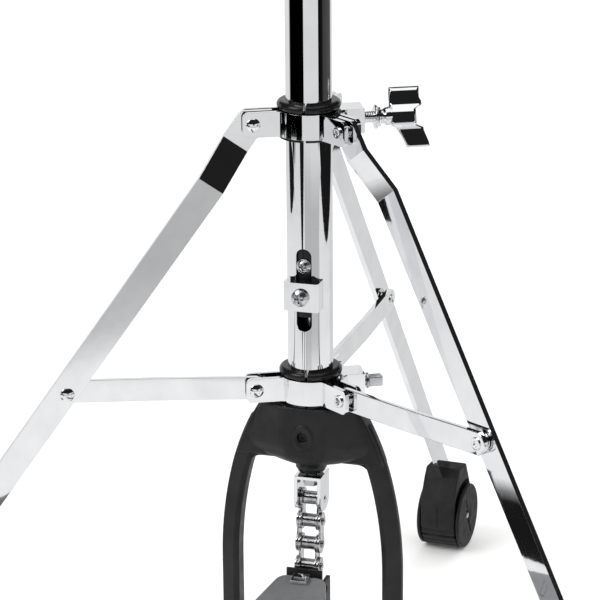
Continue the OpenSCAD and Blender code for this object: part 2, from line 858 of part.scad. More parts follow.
// Half profile of a cymbal's upper face, from the flat round its hole out to its edge
function cymbal_profile() = concat(
    [[6.6, 0], [18, 0]],
    [for (i = [1:8]) let (u = i / 8) [18 + (bell_r - 18) * sin(90 * u) / 1, -bell_h * (1 - cos(90 * u))]],
    [for (i = [1:8]) let (u = i / 8, r = bell_r + (cymbal_d / 2 - bell_r) * u)
        [r, -bell_h - (cymbal_h - bell_h) * (0.75 * u + 0.25 * u * u)]]);

// Cymbal with its bell up and its apex at z = 0
module cymbal() {
    p = cymbal_profile();
    rotate_extrude($fn = 128) polygon(concat(p, [for (i = [len(p) - 1:-1:0]) p[i] - [0, cymbal_t]]));
}

module bottom_cymbal() {
    color(BRONZE) translate([0, 0, low_apex]) mirror([0, 0, 1]) cymbal();
}

module top_cymbal() {
    color(BRONZE) translate([0, 0, high_apex]) cymbal();
}

module clutch_body() {
    color(CHROME) difference() {
        union() {
            rod_between(5.6, clutch_z - 14, clutch_z + 38);
            rod_between(9, clutch_z + 32, clutch_z + 54);
        }
        rod_between(rod_r + running, clutch_z - 20, clutch_z + 60);
        translate([0, 0, clutch_z + 43]) x_rod(3 + running, 0, 20);
    }
}

module clutch_nuts() {
    color(CHROME) {
        for (z = [clutch_z + 18, clutch_z + 24.5]) translate([0, 0, z]) difference() {
            cylinder(r = 11, h = 6, $fn = 6);
            translate([0, 0, -1]) cylinder(r = 5.6 + seated, h = 8);
        }
        ring(12.5, 5.6 + seated, clutch_z - 12, clutch_z - 3);
    }
}

module clutch_felts() {
    color(FELT) {
        ring(17, 5.6 + seated, high_apex + 0.02, high_apex + 9.5);
        ring(17, 5.6 + seated, clutch_z - 2.9, high_apex - cymbal_t - 0.02);
    }
}

module clutch_wing_screw() {
    color(CHROME) translate([0, 0, clutch_z + 43]) wing_bolt(3, rod_r + 0.4, 9.4, 24);
}

frame_casting();
foot_plate();
foot_plate_screws();
hub_screw();
rod_guide_bush();
lower_tube();
heel_plate();
heel_pin();
radius_rods();
height_clamp();
height_wing_bolt();
lower_collar();
lower_bush();
lower_collar_bolt();
brace_pivot_rivets();
upper_collar();
upper_bush();
leg_pivot_rivets();
collar_wing_bolt();
left_leg();
right_leg();
rear_leg();
left_boot();
right_boot();
rear_boot();
left_link_rivet();
right_link_rivet();
rear_link_rivet();
left_brace();
right_brace();
rear_brace();
adjuster_block();
adjuster_screw();
spring_seat();
seat_screw();
lower_pull_rod();
spring();
spring_collar();
rod_coupler();
upper_pull_rod();
chain_clevis();
clevis_nut();
chain_inner_plates();
chain_outer_plates();
chain_rollers();
chain_pins();
footboard();
toe_bracket();
toe_clip();
upper_tube();
cymbal_seat();
tilt_screw();
tilt_cup();
seat_felt();
bottom_cymbal();
clutch_body();
clutch_nuts();
clutch_felts();
top_cymbal();
clutch_wing_screw();
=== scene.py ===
"""Looks of the hi-hat: studio, materials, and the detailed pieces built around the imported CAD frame."""
import json
import math

import bmesh
import bpy
import numpy as np
from mathutils import Matrix, Vector


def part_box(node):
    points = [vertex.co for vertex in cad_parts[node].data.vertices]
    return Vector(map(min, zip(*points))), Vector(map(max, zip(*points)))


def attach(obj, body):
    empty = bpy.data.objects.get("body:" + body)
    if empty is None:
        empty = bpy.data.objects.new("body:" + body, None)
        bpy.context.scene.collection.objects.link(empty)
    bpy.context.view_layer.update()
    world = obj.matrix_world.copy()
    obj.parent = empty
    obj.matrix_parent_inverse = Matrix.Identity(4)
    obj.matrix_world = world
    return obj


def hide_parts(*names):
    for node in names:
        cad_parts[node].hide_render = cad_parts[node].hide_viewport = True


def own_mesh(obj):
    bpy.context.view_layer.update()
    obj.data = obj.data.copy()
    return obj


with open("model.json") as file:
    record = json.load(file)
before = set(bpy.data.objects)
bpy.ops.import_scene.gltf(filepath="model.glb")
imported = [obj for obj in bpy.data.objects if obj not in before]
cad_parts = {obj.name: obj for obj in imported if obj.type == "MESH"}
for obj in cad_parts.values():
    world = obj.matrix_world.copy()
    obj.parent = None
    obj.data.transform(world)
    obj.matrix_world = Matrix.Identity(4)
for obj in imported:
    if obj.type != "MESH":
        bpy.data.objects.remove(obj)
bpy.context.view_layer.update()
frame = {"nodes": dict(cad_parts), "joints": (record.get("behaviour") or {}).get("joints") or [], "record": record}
NODES = frame["nodes"]
JOINTS = {j["name"]: j for j in frame["joints"]}
BODY = {n: b for b, members in frame["record"]["behaviour"]["bodies"].items() for n in members}

MM = 0.001
TAU = 2 * math.pi

# Shared sizes, in millimetres and degrees
TUBE_R = 12.7
TUBE_WALL = 1.6
UPPER_TUBE_R = 9.5
UPPER_TUBE_WALL = 1.4
ROD_R = 3
CLAMP_Z = 560
SLOT = (238, 286, 4.45)            # the spring slot's low end, high end and half width
FRAME_HALF = 53.6
FRAME_FOOT = FRAME_HALF - 5.6
FOOT_RADIUS = 258
FOOT_R = 21.5
FOOT_W = 22.8
FOOT_SIDE = 2.83                    # sideways offset of the leg's end
LEG_PIVOT = (31.3, 355.7)           # radius and height
BRACE_PIVOT = (31.3, 203)
BRACE_RISE = 3
BRACE_LEN = 105.5
BOARD_ANGLE = 13.85
BOARD_HINGE = (-285, 24)
BOARD_LEN = 276.4
BOARD_HALF = 42


def azimuth(joint):
    """Azimuth, in degrees, of a joint's place about the tube."""
    x, y, _ = JOINTS[joint]["pos_m"]
    return math.degrees(math.atan2(y, x))


LEG_AZ = {side: azimuth(f"{side}_leg_fold") for side in ("left", "right", "rear")}
BOLT_AZ = (LEG_AZ["right"] + LEG_AZ["rear"]) / 2


# ---- Places ----

def shift(x=0, y=0, z=0):
    return Matrix.Translation((x, y, z))


def turn(degrees, axis="Z"):
    return Matrix.Rotation(math.radians(degrees), 4, axis)


ALONG_X = turn(90, "Y")             # takes +Z to +X


def on_brace(az):
    return turn(az) @ shift(BRACE_PIVOT[0], 0, BRACE_PIVOT[1]) @ turn(-BRACE_RISE, "Y")


def on_board():
    return shift(0, *BOARD_HINGE) @ turn(BOARD_ANGLE, "X")


# ---- Node helpers ----

def fill_ramp(ramp, stops):
    """Sets a colour ramp's points; each stop is (position, (r, g, b))."""
    points = ramp.color_ramp.elements
    while len(points) < len(stops):
        points.new(0.5)
    for point, (position, colour) in zip(points, stops):
        point.position = position
        point.color = (*colour, 1)


class Shader:
    """A material under construction: one Principled shader and the procedural nodes that drive it."""

    def __init__(self, name, colour, metallic=0.0, roughness=0.5, **constants):
        self.mat = bpy.data.materials.new(name)
        self.mat.use_nodes = True
        self.tree = self.mat.node_tree
        self.bsdf = self.tree.nodes["Principled BSDF"]
        self.set("Base Color", (*colour, 1))
        self.set("Metallic", metallic)
        self.set("Roughness", roughness)
        for socket, value in constants.items():
            self.set(socket.replace("_", " "), value)
        self.place = self.node("ShaderNodeTexCoord").outputs["Object"]

    def set(self, socket, value):
        self.bsdf.inputs[socket].default_value = value

    def node(self, kind, **settings):
        made = self.tree.nodes.new(kind)
        for key, value in settings.items():
            setattr(made, key, value)
        return made

    def link(self, a, b):
        self.tree.links.new(a, b)

    def stretched(self, scale):
        """Object coordinates scaled per axis, for grain that runs one way."""
        mapping = self.node("ShaderNodeMapping")
        mapping.inputs["Scale"].default_value = scale
        self.link(self.place, mapping.inputs["Vector"])
        return mapping.outputs["Vector"]

    def noise(self, scale, detail=4.0, rough=0.55, coords=None):
        tex = self.node("ShaderNodeTexNoise")
        self.link(coords or self.place, tex.inputs["Vector"])
        tex.inputs["Scale"].default_value = scale
        tex.inputs["Detail"].default_value = detail
        tex.inputs["Roughness"].default_value = rough
        return tex.outputs["Fac"]

    def cells(self, scale, coords=None):
        tex = self.node("ShaderNodeTexVoronoi")
        self.link(coords or self.place, tex.inputs["Vector"])
        tex.inputs["Scale"].default_value = scale
        return tex.outputs["Distance"]

    def rings(self, scale):
        """Waves that run outwards from the Z axis, for turned metal."""
        tex = self.node("ShaderNodeTexWave", wave_type="RINGS", rings_direction="Z")
        self.link(self.place, tex.inputs["Vector"])
        tex.inputs["Scale"].default_value = scale
        tex.inputs["Distortion"].default_value = 0.6
        tex.inputs["Detail"].default_value = 2
        return tex.outputs["Fac"]

    def spread(self, source, low, high, out_low, out_high):
        ranged = self.node("ShaderNodeMapRange")
        self.link(source, ranged.inputs["Value"])
        for socket, value in zip(("From Min", "From Max", "To Min", "To Max"), (low, high, out_low, out_high)):
            ranged.inputs[socket].default_value = value
        return ranged.outputs["Result"]

    def combine(self, a, b, operation="ADD"):
        """Adds or multiplies two numbers or outputs."""
        math_node = self.node("ShaderNodeMath", operation=operation)
        for socket, value in zip(math_node.inputs, (a, b)):
            if isinstance(value, (int, float)):
                socket.default_value = value
            else:
                self.link(value, socket)
        return math_node.outputs["Value"]

    def roughness(self, source, low, high):
        self.link(self.spread(source, 0.3, 0.7, low, high), self.bsdf.inputs["Roughness"])

    def colours(self, source, *stops):
        """Base colour from a ramp; each stop is (position, (r, g, b))."""
        ramp = self.node("ShaderNodeValToRGB")
        fill_ramp(ramp, stops)
        self.link(source, ramp.inputs["Fac"])
        self.link(ramp.outputs["Color"], self.bsdf.inputs["Base Color"])

    def bump(self, height, depth):
        """Depth is how far, in metres, the surface moves for a height of 1."""
        bumped = self.node("ShaderNodeBump")
        bumped.inputs["Strength"].default_value = 1
        bumped.inputs["Distance"].default_value = depth
        self.link(height, bumped.inputs["Height"])
        self.link(bumped.outputs["Normal"], self.bsdf.inputs["Normal"])


# ---- Materials ----

def chrome():
    """Bright plating: mirror-like, with faint orange peel and handling marks."""
    s = Shader("chrome_plate", (0.86, 0.87, 0.88), metallic=1.0, roughness=0.05)
    smears = s.noise(55, 5)
    s.colours(smears, (0.25, (0.80, 0.81, 0.83)), (0.75, (0.91, 0.915, 0.92)))
    s.roughness(s.combine(s.noise(240, 6), smears, "MULTIPLY"), 0.03, 0.13)
    s.bump(s.noise(160, 2), 0.000004)
    return s.mat


def steel():
    """Plated fasteners and rods: satin, with fine turning marks."""
    tint = (0.62, 0.63, 0.65)
    s = Shader("zinc_steel", tint, metallic=1.0, roughness=0.25)
    grain = s.noise(900, 3, coords=s.stretched((1, 1, 6)))
    s.colours(s.noise(120, 4), (0.3, tuple(0.82 * c for c in tint)), (0.7, tuple(min(1, 1.12 * c) for c in tint)))
    s.roughness(grain, 0.16, 0.34)
    s.bump(grain, 0.000012)
    return s.mat


def chain_steel():
    """Oiled roller chain: darker, with stains where the plates meet."""
    s = Shader("chain_steel", (0.5, 0.5, 0.51), metallic=1.0, roughness=0.16)
    stains = s.noise(260, 5)
    s.colours(stains, (0.3, (0.34, 0.34, 0.35)), (0.62, (0.74, 0.74, 0.75)))
    s.roughness(stains, 0.08, 0.2)
    s.bump(s.noise(1500, 3), 0.00001)
    return s.mat


def cast_black():
    """Powder-coated casting: satin black with a fine pebbled skin and rubbed high spots."""
    s = Shader("cast_black", (0.012, 0.012, 0.013), roughness=0.42, Specular_IOR_Level=0.35)
    skin = s.cells(1500)
    s.colours(s.noise(70, 5), (0.3, (0.006, 0.006, 0.0065)), (0.72, (0.014, 0.014, 0.015)))
    s.roughness(s.noise(160, 5), 0.36, 0.52)
    s.bump(s.combine(s.combine(skin, 0.6, "MULTIPLY"), s.noise(700, 4)), 0.00003)
    return s.mat


def nylon():
    """Glossy black moulded nylon."""
    s = Shader("black_nylon", (0.012, 0.012, 0.013), roughness=0.2, Specular_IOR_Level=0.32)
    s.colours(s.noise(90, 3), (0.3, (0.004, 0.004, 0.0045)), (0.7, (0.010, 0.010, 0.0105)))
    s.roughness(s.noise(320, 4), 0.13, 0.24)
    s.bump(s.noise(500, 2), 0.000008)
    return s.mat


def rubber():
    """Matt black rubber with mould grain and a dusty bloom."""
    s = Shader("black_rubber", (0.02, 0.02, 0.021), roughness=0.6, Specular_IOR_Level=0.3)
    s.colours(s.noise(60, 6), (0.28, (0.006, 0.006, 0.0065)), (0.75, (0.018, 0.018, 0.0185)))
    s.roughness(s.noise(200, 5), 0.5, 0.72)
    s.bump(s.combine(s.noise(1600, 4), s.combine(s.cells(900), 0.5, "MULTIPLY")), 0.00004)
    return s.mat


def grey_metal():
    """Grey painted aluminium: fine metallic fleck under a satin coat."""
    s = Shader("grey_paint", (0.25, 0.255, 0.26), metallic=0.55, roughness=0.4, Coat_Weight=0.15, Coat_Roughness=0.3)
    fleck = s.cells(2600)
    s.colours(s.combine(s.combine(fleck, 0.5, "MULTIPLY"), s.combine(s.noise(45, 5), 0.6, "MULTIPLY")),
              (0.25, (0.19, 0.195, 0.2)), (0.75, (0.33, 0.335, 0.345)))
    s.roughness(s.noise(400, 4), 0.32, 0.5)
    s.bump(s.noise(1100, 4), 0.00002)
    return s.mat


def felt():
    """Pressed wool felt: matted fibres, soft sheen."""
    s = Shader("wool_felt", (0.62, 0.6, 0.54), roughness=0.95, Specular_IOR_Level=0.1, Sheen_Weight=0.4,
               Sheen_Roughness=0.6)
    fibres = s.noise(1400, 8, 0.7, s.stretched((1, 1, 3)))
    s.colours(s.combine(s.combine(fibres, 0.6, "MULTIPLY"), s.combine(s.noise(180, 5), 0.4, "MULTIPLY")),
              (0.32, (0.36, 0.34, 0.30)), (0.68, (0.74, 0.72, 0.66)))
    s.bump(fibres, 0.00035)
    return s.mat


def bronze():
    """Turned cymbal bronze: fine lathe rings, clear lacquer, faint patina."""
    s = Shader("cymbal_bronze", (0.72, 0.5, 0.2), metallic=0.8, roughness=0.27, Coat_Weight=0.2, Coat_Roughness=0.15)
    lathe_marks = s.rings(420)
    patina = s.noise(14, 6, 0.62)
    s.colours(s.combine(s.combine(lathe_marks, 0.25, "MULTIPLY"), s.combine(patina, 0.8, "MULTIPLY")),
              (0.25, (0.46, 0.27, 0.085)), (0.55, (0.72, 0.48, 0.19)), (0.8, (0.86, 0.64, 0.31)))
    s.roughness(s.combine(lathe_marks, patina, "MULTIPLY"), 0.2, 0.38)
    s.bump(s.combine(lathe_marks, s.combine(s.rings(97), 0.8, "MULTIPLY")), 0.00004)
    return s.mat


CHROME = chrome()
STEEL = steel()
CHAIN = chain_steel()
CAST = cast_black()
NYLON = nylon()
RUBBER = rubber()
GREY = grey_metal()
FELT = felt()
BRONZE = bronze()
FINISH = {"chrome": CHROME, "steel": STEEL, "chain_steel": CHAIN, "cast_black": CAST, "nylon": NYLON,
          "rubber": RUBBER, "grey_metal": GREY, "felt": FELT, "bronze": BRONZE}


# ---- Mesh helpers, in millimetres until a piece is finished ----

def arc(centre, radius, start, end, steps):
    """Points on an arc, in degrees."""
    angles = [math.radians(start + (end - start) * i / steps) for i in range(steps + 1)]
    return [(centre[0] + radius * math.cos(a), centre[1] + radius * math.sin(a)) for a in angles]


def rounded(points, radius, steps=4, closed=True):
    """The same outline with its corners rounded to the radius, or to what their sides leave room for."""
    out = []
    count = len(points)
    for i, here in enumerate(points):
        if not closed and i in (0, count - 1):
            out.append(tuple(here))
            continue
        p, a, b = Vector(here), Vector(points[i - 1]), Vector(points[(i + 1) % count])
        u, v = (a - p).normalized(), (b - p).normalized()
        half = math.acos(max(-1, min(1, u.dot(v)))) / 2
        if half > math.radians(86) or half < math.radians(2):
            out.append(tuple(here))
            continue
        reach = min(radius / math.tan(half), 0.49 * (a - p).length, 0.49 * (b - p).length)
        centre = p + (u + v).normalized() * reach / math.cos(half)
        start, end = p + u * reach, p + v * reach
        for k in range(steps + 1):
            mix = start.lerp(end, k / steps)
            out.append(tuple(centre + (mix - centre).normalized() * (start - centre).length))
    return out


class Shells:
    """Collects closed shells into one mesh."""

    def __init__(self):
        self.bm = bmesh.new()

    def take(self, made, place):
        """Adds another bmesh, moved into place, and frees it."""
        bmesh.ops.recalc_face_normals(made, faces=made.faces)
        made.transform(place)
        if place.determinant() < 0:
            bmesh.ops.reverse_faces(made, faces=made.faces)
        mesh = bpy.data.meshes.new("scratch")
        made.to_mesh(mesh)
        made.free()
        self.bm.from_mesh(mesh)
        bpy.data.meshes.remove(mesh)
        return self

    def lathe(self, profile, place=Matrix(), segments=64):
        """Turns a profile of (radius, height) about Z. It closes on itself, or starts and ends on the axis."""
        made = bmesh.new()
        on_axis = [abs(r) < 1e-6 for r, _ in profile]
        rings = []
        for (r, z), single in zip(profile, on_axis):
            steps = [0] if single else range(segments)
            rings.append([made.verts.new((r * math.cos(TAU * k / segments), r * math.sin(TAU * k / segments), z))
                          for k in steps])
        pairs = list(zip(rings, rings[1:]))
        if not any(on_axis):
            pairs.append((rings[-1], rings[0]))
        for low, high in pairs:
            for k in range(segments):
                n = (k + 1) % segments
                corners = [low[k % len(low)], low[n % len(low)], high[n % len(high)], high[k % len(high)]]
                corners = list(dict.fromkeys(corners))
                if len(corners) > 2:
                    made.faces.new(corners)
        return self.take(made, place)

    def loft(self, sections, place=Matrix()):
        """Joins closed sections of equal point counts, each a list of 3-D points, and caps both ends."""
        made = bmesh.new()
        loops = [[made.verts.new(p) for p in section] for section in sections]
        count = len(loops[0])
        for low, high in zip(loops, loops[1:]):
            for k in range(count):
                made.faces.new((low[k], low[(k + 1) % count], high[(k + 1) % count], high[k]))
        made.faces.new(loops[0])
        made.faces.new(loops[-1])
        return self.take(made, place)

    def prism(self, outline, z0, z1, place=Matrix(), edge=0.0, steps=3):
        """An outline raised from z0 to z1, with its rims rounded to edge."""
        made = bmesh.new()
        low = [made.verts.new((x, y, z0)) for x, y in outline]
        high = [made.verts.new((x, y, z1)) for x, y in outline]
        count = len(low)
        for k in range(count):
            made.faces.new((low[k], low[(k + 1) % count], high[(k + 1) % count], high[k]))
        made.faces.new(low)
        made.faces.new(high)
        if edge:
            bmesh.ops.recalc_face_normals(made, faces=made.faces)
            rims = [e for e in made.edges if abs(e.verts[0].co.z - e.verts[1].co.z) < 1e-6]
            bmesh.ops.bevel(made, geom=rims, offset=edge, segments=steps, profile=0.5, affect="EDGES",
                            clamp_overlap=True)
        return self.take(made, place)

    def box(self, low, high, place, edge):
        """A block with all its edges rounded to edge."""
        made = bmesh.new()
        bmesh.ops.create_cube(made, size=1)
        size = Vector(high) - Vector(low)
        made.transform(Matrix.Translation((Vector(low) + Vector(high)) / 2) @ Matrix.Diagonal((*size, 1)))
        bmesh.ops.bevel(made, geom=made.edges[:], offset=edge, segments=3, profile=0.5, affect="EDGES")
        return self.take(made, place)

    def thread(self, radius, z0, z1, place, pitch, depth):
        """A threaded rod along Z, its ridges as close rings."""
        profile = [(0, z0)]
        turns = int((z1 - z0) / pitch)
        for i in range(turns):
            z = z0 + i * pitch
            profile += [(radius - depth, z), (radius, z + 0.42 * pitch), (radius, z + 0.58 * pitch)]
        profile += [(radius - depth, z0 + turns * pitch), (0, z0 + turns * pitch)]
        return self.lathe(profile, place, 32)


def finished(shells, name, material, body, slot, *replaced, weighted=True):
    """Makes a piece of the shells, in metres, riding on its body."""
    bm = shells.bm if isinstance(shells, Shells) else shells
    bm.transform(Matrix.Scale(MM, 4))
    mesh = bpy.data.meshes.new(name)
    for face in bm.faces:
        face.smooth = True
    bm.to_mesh(mesh)
    bm.free()
    piece = bpy.data.objects.new(name, mesh)
    bpy.context.scene.collection.objects.link(piece)
    mesh.materials.append(material)
    if weighted:
        piece.modifiers.new("flats", "WEIGHTED_NORMAL").keep_sharp = True
    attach(piece, body)
    if replaced:
        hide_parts(*replaced)
    return piece


def rim(r_in, r_out, z0, z1, edge, steps=4):
    """Profile of a ring with its four corners rounded."""
    return rounded([(r_in, z0), (r_out, z0), (r_out, z1), (r_in, z1)], edge, steps)


def disc(r, z0, z1, edge, steps=4):
    """Profile of a solid disc with its two rims rounded."""
    return rounded([(0, z0), (r, z0), (r, z1), (0, z1)], edge, steps, closed=False)


# ---- CAD shapes with their edges eased ----

def eased(node, edge, slot, least_angle):
    """A copy of a CAD node whose edges sharper than least_angle are rounded to edge millimetres."""
    bm = bmesh.new()
    bm.from_mesh(NODES[node].data)
    bm.transform(Matrix.Scale(1 / MM, 4))
    bmesh.ops.remove_doubles(bm, verts=bm.verts, dist=0.002)
    bmesh.ops.dissolve_limit(bm, angle_limit=math.radians(0.4), verts=bm.verts, edges=bm.edges)
    sharp = [e for e in bm.edges if e.is_manifold and e.calc_face_angle(0) > math.radians(least_angle)]
    bmesh.ops.bevel(bm, geom=sharp, offset=edge, segments=2, profile=0.5, affect="EDGES", clamp_overlap=True)
    bmesh.ops.remove_doubles(bm, verts=bm.verts, dist=0.0005)
    bmesh.ops.triangulate(bm, faces=[f for f in bm.faces if len(f.verts) > 4])
    return finished(bm, f"{node}_eased", FINISH[slot], BODY[node], slot, node)


EASED = {
    "lower_collar": (0.5, "chrome", 14), "upper_collar": (0.5, "chrome", 14),
    "brace_pivot_rivets": (0.3, "chrome", 24), "leg_pivot_rivets": (0.3, "chrome", 24),
    "left_leg": (0.45, "chrome", 12), "right_leg": (0.45, "chrome", 12), "rear_leg": (0.45, "chrome", 12),
    "left_brace": (0.45, "chrome", 12), "right_brace": (0.45, "chrome", 12), "rear_brace": (0.45, "chrome", 12),
    "left_link_rivet": (0.3, "chrome", 24), "right_link_rivet": (0.3, "chrome", 24),
    "rear_link_rivet": (0.3, "chrome", 24),
    "lower_bush": (0.45, "nylon", 24), "upper_bush": (0.45, "nylon", 24), "rod_guide_bush": (0.4, "nylon", 24),
    "adjuster_block": (0.5, "chrome", 24), "adjuster_screw": (0.2, "steel", 24), "seat_screw": (0.2, "steel", 24),
    "spring_seat": (0.2, "nylon", 24), "spring_collar": (0.4, "steel", 24), "rod_coupler": (0.5, "steel", 24),
    "hub_screw": (0.15, "cast_black", 24), "foot_plate": (0.7, "steel", 24), "foot_plate_screws": (0.3, "steel", 24),
    "heel_plate": (0.8, "grey_metal", 24), "toe_bracket": (0.35, "cast_black", 24), "toe_clip": (0.25, "chrome", 24),
    "chain_clevis": (0.4, "chrome", 24), "clevis_nut": (0.35, "steel", 24),
    "chain_inner_plates": (0.25, "chain_steel", 24), "chain_outer_plates": (0.25, "chain_steel", 24),
    "height_clamp": (0.7, "chrome", 24), "cymbal_seat": (0.6, "chrome", 24), "tilt_cup": (0.5, "chrome", 24),
    "tilt_screw": (0.3, "chrome", 24), "clutch_body": (0.5, "chrome", 24), "clutch_nuts": (0.6, "chrome", 24),
    "radius_rods": (0.3, "steel", 24), "heel_pin": (0.4, "steel", 24),
}


def ease_cad_shapes():
    for node, (edge, slot, least_angle) in EASED.items():
        eased(node, edge, slot, least_angle)


def finish_plain_nodes():
    """CAD nodes whose shape is already right: they only get their finish."""
    for node in ("lower_pull_rod", "upper_pull_rod"):
        mesh = NODES[node].data
        mesh.materials.clear()
        mesh.materials.append(STEEL)
        mesh.shade_smooth()


# ---- Cuts and tubes ----

def without(piece, cutter):
    """Cuts one finished object out of another and keeps the result as plain mesh."""
    cut = piece.modifiers.new("cut", "BOOLEAN")
    cut.operation = "DIFFERENCE"
    cut.solver = "EXACT"
    cut.use_self = True
    cut.object = cutter
    bpy.context.view_layer.update()
    evaluated = piece.evaluated_get(bpy.context.evaluated_depsgraph_get())
    mesh = bpy.data.meshes.new_from_object(evaluated)
    piece.modifiers.remove(cut)
    old = piece.data
    piece.data = mesh
    bpy.data.meshes.remove(old)
    bpy.data.objects.remove(cutter)
    for polygon in mesh.polygons:
        polygon.use_smooth = True


def scratch_object(shells):
    """A temporary object, in metres, to cut with."""
    shells.bm.transform(Matrix.Scale(MM, 4))
    mesh = bpy.data.meshes.new("cutter")
    shells.bm.to_mesh(mesh)
    shells.bm.free()
    made = bpy.data.objects.new("cutter", mesh)
    bpy.context.scene.collection.objects.link(made)
    return made


def tubes():
    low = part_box("lower_tube")[0].z / MM
    wall = Shells().lathe(rim(TUBE_R - TUBE_WALL, TUBE_R, low, CLAMP_Z, 0.4), segments=128)
    tube = finished(wall, "lower_tube_wall", CHROME, "frame", "chrome", "lower_tube")
    z0, z1, half = SLOT
    outline = arc((0, z1 - half), half, 0, 180, 16) + arc((0, z0 + half), half, 180, 360, 16)
    without(tube, scratch_object(Shells().prism(outline, 5, 20, turn(90, "X"))))
    upper = [c.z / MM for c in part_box("upper_tube")]
    wall = Shells().lathe(rim(UPPER_TUBE_R - UPPER_TUBE_WALL, UPPER_TUBE_R, *upper, 0.4), segments=112)
    finished(wall, "upper_tube_wall", CHROME, "mast", "chrome", "upper_tube")


# ---- Wing bolts and the lower collar's bolt ----

def smooth(x, low, high):
    """0 below low, 1 above high, eased in between."""
    u = min(1, max(0, (x - low) / (high - low)))
    return u * u * (3 - 2 * u)


def wing_sections(seat, length, height, lean):
    """Cross-sections of the hub and its two thick blades, from the lower tip to the upper one."""
    sections = []
    steps = 56
    scale = length / 27.5
    upper = 0.9 * height             # the upper blade is the shorter one
    for i in range(steps + 1):
        z = math.sin(math.pi / 2 * (-1 + 2 * i / steps)) * (height if 2 * i < steps else upper)
        away = abs(z)
        blade = smooth(away, 4.4, 6.6)
        if z > 0:
            x_in = seat + (8.0 + 0.5 * blade + 1.2 * smooth(away, 13, height)) * scale
            x_out = seat + (23.0 + 3.6 * smooth(away, 4.2, 5.6) - 0.9 * smooth(away, 7, 9)) * scale
        else:
            x_in = seat + (8.0 + (3.2 * smooth(away, 3.4, 7) + 5.4 * smooth(away, 4, height)) * lean / 5) * scale
            hook = 0.55 * smooth(away, 6, height) * lean
            x_out = seat + 23.0 * scale + (3.2 * blade + 0.9 + hook) * smooth(away, 4, 6)
        swing = 0.24 * z + math.copysign(0.009 * z * z, z)
        half = 5.1 - 2.9 * smooth(away, 2.6, 6.8) + 0.75 * smooth(away, 10, height - 1)
        tip = (height if z < 0 else upper) - away
        if tip < 2.2:
            half *= math.sqrt(max(0.03, 1 - ((2.2 - tip) / 2.25) ** 2))
        corner = min(2.0, 0.86 * half)
        box = [(x_in, swing - half), (x_out, swing - half), (x_out, swing + half), (x_in, swing + half)]
        sections.append([(x, y, z) for x, y in rounded(box, corner, 5)])
    return sections


def wing_bolt(name, place, body, node, seat, tip, length, height, radius=3.4, lean=5.0):
    """A die-cast wing bolt along +X: threaded shank, flange, waisted neck, hub and two curved blades.
    It is threaded from tip to seat; length is the hub's, height the blades' reach to each side."""
    made = Shells()
    made.thread(radius, tip, seat + 1, place @ ALONG_X, pitch=1.25, depth=0.6)
    profile = [(0, seat), (6.2, seat), (6.7, seat + 0.6), (6.7, seat + 1.3), (6.0, seat + 1.7), (5.6, seat + 2.3),
               (5.4, seat + 3.3), (4.0, seat + 3.8), (3.9, seat + 4.6), (4.9, seat + 6.0), (5.1, seat + 7.6),
               (4.8, seat + 10), (0, seat + 10)]
    made.lathe(rounded(profile, 0.6, 4, closed=False), place @ ALONG_X, 56)
    made.loft(wing_sections(seat, length, height, lean), place)
    finished(made, name, CHROME, body, "chrome", node)


def bolts():
    large = {"length": 27.5, "height": 16.4}
    at_collar = turn(BOLT_AZ) @ shift(0, 0, LEG_PIVOT[1])
    wing_bolt("collar_wing_bolt_cast", at_collar, "collar_wing", "collar_wing_bolt", seat=35.8, tip=15.2, **large)
    at_clamp = turn(BOLT_AZ) @ shift(27, 0, CLAMP_Z - 10) @ turn(-90)
    wing_bolt("height_wing_bolt_cast", at_clamp, "height_wing", "height_wing_bolt", seat=9.4, tip=-10, **large)
    clutch_z = sum(c.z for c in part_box("clutch_wing_screw")) / 2 / MM
    wing_bolt("clutch_wing_screw_cast", shift(0, 0, clutch_z), "clutch_wing", "clutch_wing_screw",
              seat=9.4, tip=ROD_R + 0.4, length=23.5, height=14.5, radius=3, lean=0)
    at_brace = turn(BOLT_AZ) @ shift(0, 0, BRACE_PIVOT[1])
    square = Shells().thread(3, 15.2, 32.6, at_brace @ ALONG_X, pitch=1.0, depth=0.5)
    square.lathe(disc(4.6, 31.2, 32.5, 0.35), at_brace @ ALONG_X, 40)
    square.box((32.45, -3, -3), (40.5, 3, 3), at_brace, 0.9)
    finished(square, "lower_collar_square_bolt", STEEL, BODY["lower_collar_bolt"], "steel", "lower_collar_bolt")


# ---- Rivet rims on the braces' outer ends ----

def brace_rims():
    for side, az in LEG_AZ.items():
        place = on_brace(az) @ shift(BRACE_LEN, -0.05, 0) @ turn(90, "X")
        profile = rounded([(1.3, -1.5), (3.5, -1.5), (3.5, 0.75), (1.3, 0.75)], 0.35, 3)
        made = Shells().lathe(profile, place, 40)
        made.lathe(disc(1.35, -1.5, -0.5, 0.1, 2), place, 24)
        finished(made, f"{side}_brace_rivet_rim", CHROME, f"{side}_brace_bar", "chrome")


# ---- Rubber boots ----

